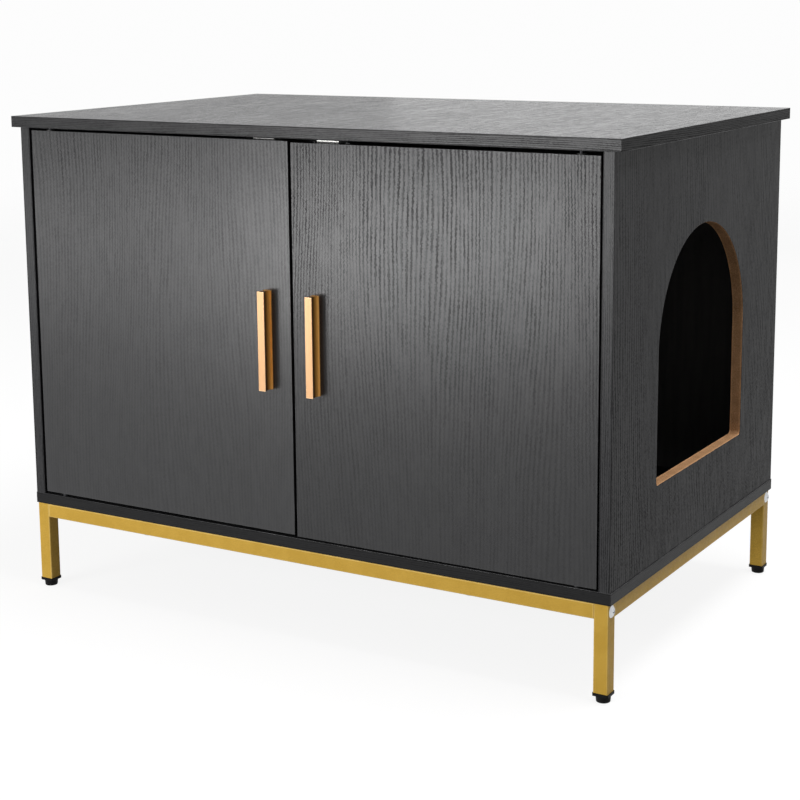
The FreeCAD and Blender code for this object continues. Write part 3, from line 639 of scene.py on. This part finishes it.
def beech(name):
    """Turned beech: pinkish brown with short dark rays along the dowel."""
    material, tree, shader, place = new_finish(name)
    rays = grit(tree, place, (900.0, 900.0, 160.0), 2.0, 0.6)
    bands = grit(tree, place, (180.0, 180.0, 20.0), 2.0)
    colour = mix(tree, fade(tree, bands, 0.3, 0.7), beech_deep, beech_pale)
    colour = shade(tree, colour, fade(tree, rays, 0.5, 0.72, 1.05, 0.75))
    feed(tree, shader.inputs["Base Color"], colour)
    feed(tree, shader.inputs["Roughness"], fade(tree, rays, 0.3, 0.7, 0.55, 0.75))
    feed(tree, shader.inputs["Normal"], relief(tree, rays, 0.00006))
    return material


dress(["dowels"], beech("beech"))
dress(["cam_locks", "cam_bolts"], die_cast)

# ---------------------------------------------------------------------------------------------
# Doors: two laminated boards with upright grain that swing on pins in their top and bottom
# edges. They are cut from one sheet. Their lines are drawn stronger towards the top and on the
# right door, as painted light for where the sheen shows the grain.
dress(["door_left"],
      laminate("door_left", ALONG_Z, (0.0, 1.0, 0.0), (0.05, 0.0, 0.0), 0.68, (0.28, 0.68),
               tone_level=1.15))
dress(["door_right"],
      laminate("door_right", ALONG_Z, (0.0, 1.0, 0.0), (0.42, 0.0, 1.6), 0.62, (0.38, 1.06)))


# ---------------------------------------------------------------------------------------------
# Handles: lengths of extruded aluminium bar with a waist, brushed lengthwise and anodised in
# copper gold. Two screws hold each from the inside of its door.
# The front and waist colours are separate copies of the one anodised colour, set to how each face
# is lit: painted light and shade.
front_deep = (0.48, 0.262, 0.118, 1.0)
front_pale = (0.515, 0.288, 0.136, 1.0)
waist_deep = (0.66, 0.30, 0.056, 1.0)
waist_pale = (0.70, 0.335, 0.073, 1.0)
# The pale copper is a painted highlight on the long edges of the bar.
handle_edge_highlight = (0.85, 0.60, 0.36, 1.0)
handle_edge_width = 0.0009
front_skin_start, front_skin_end = 0.0006, 0.0012
waist_shade_start, waist_light_end = 0.0045, 0.0135


def anodised(name):
    """Brushed and anodised: fine hairs along z, a satin gloss, a painted highlight on the edges,
    separate colours for the front and the waist as each face is lit, and on the waist painted
    shade behind the front flange and painted light towards the door."""
    material, tree, shader, place = new_finish("anodised_" + name)
    low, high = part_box(name)
    hairs = grit(tree, place, (2600.0, 2600.0, 26.0), 3.0, 0.6)
    streaks = grit(tree, place, (380.0, 380.0, 9.0), 2.0)
    streak_share = fade(tree, streaks, 0.3, 0.7)
    front = mix(tree, streak_share, front_deep, front_pale)
    depth = calc(tree, "SUBTRACT", put(tree, "SeparateXYZ", {0: place}).outputs["Y"], low.y)
    waist = mix(tree, streak_share, waist_deep, waist_pale)
    # Painted shade on the waist behind the front flange, rising to painted light towards the door.
    waist = shade(tree, waist, fade(tree, depth, waist_shade_start, waist_light_end, 0.12, 1.5))
    colour = mix(tree, fade(tree, depth, front_skin_start, front_skin_end), front, waist)
    colour = shade(tree, colour, fade(tree, hairs, 0.3, 0.7, 0.9, 1.06))
    edge = box_edges(tree, place, low, high, handle_edge_width)[0]
    # Painted highlight on the long edges.
    colour = mix(tree, calc(tree, "MULTIPLY", edge, 0.45), colour, handle_edge_highlight)
    feed(tree, shader.inputs["Base Color"], colour)
    feed(tree, shader.inputs["Roughness"], fade(tree, hairs, 0.3, 0.7, 0.3, 0.42))
    shader.inputs["Metallic"].default_value = 0.45
    feed(tree, shader.inputs["Normal"], relief(tree, hairs, 0.00001))
    return material


for side in ("left", "right"):
    dress(["handle_" + side], anodised("handle_" + side))
    dress(["handle_screws_" + side], zinc)


# ---------------------------------------------------------------------------------------------
# Pivots: black-plated steel pins with a collar in the top and bottom boards, and nylon bushes
# pressed into the door edges, which turn on them.
nylon_deep = (0.045, 0.045, 0.044, 1.0)
nylon_pale = (0.065, 0.065, 0.064, 1.0)


def nylon(name):
    """Dark grey nylon with a faint flow pattern."""
    material, tree, shader, place = new_finish(name)
    flow = grit(tree, place, (300.0, 300.0, 120.0), 3.0, 0.6)
    colour = mix(tree, fade(tree, flow, 0.3, 0.7), nylon_deep, nylon_pale)
    feed(tree, shader.inputs["Base Color"], colour)
    feed(tree, shader.inputs["Roughness"], fade(tree, flow, 0.3, 0.7, 0.38, 0.5))
    feed(tree, shader.inputs["Normal"], relief(tree, flow, 0.00004))
    return material


bush_nylon = nylon("bush_nylon")
black_zinc = plated("black_zinc", (0.05, 0.05, 0.052, 1.0), (0.03, 0.03, 0.032, 1.0), 0.4, 0.55)
for side in ("left", "right"):
    dress(["pivot_bushes_" + side], bush_nylon)
    dress(["pivot_pin_upper_" + side, "pivot_pin_lower_" + side], black_zinc)

# ---------------------------------------------------------------------------------------------
# Magnetic catches: a black plastic housing screwed under the top board, with a ferrite magnet
# between two pole plates, and a plated strike plate on the inside of each door.
pole_plate = plated("bright_nickel", (0.92, 0.91, 0.88, 1.0), (0.86, 0.85, 0.82, 1.0), 0.16, 0.3,
                    (0.1, 1.0, 1.0))
ferrite_deep = (0.035, 0.035, 0.037, 1.0)
ferrite_pale = (0.10, 0.10, 0.105, 1.0)
ferrite, tree, shader, place = new_finish("ferrite")
grains = grit(tree, place, (1500.0, 1500.0, 1500.0), 2.0, 0.7)
chips = grit(tree, place, (220.0, 220.0, 220.0), 2.0)
colour = mix(tree, fade(tree, grains, 0.35, 0.7), ferrite_deep, ferrite_pale)
feed(tree, shader.inputs["Base Color"], colour)
feed(tree, shader.inputs["Roughness"], fade(tree, chips, 0.3, 0.7, 0.5, 0.7))
feed(tree, shader.inputs["Normal"], relief(tree, chips, 0.00008))
housing_plastic = black_moulding("housing_plastic", 0.012, -1.0)
for side in ("left", "right"):
    dress(["catch_housing_" + side], housing_plastic)
    dress(["catch_magnet_" + side], ferrite)
    dress(["catch_pole_plates_" + side], pole_plate)
    dress(["catch_screws_" + side, "strike_plate_" + side, "strike_screw_" + side], zinc)
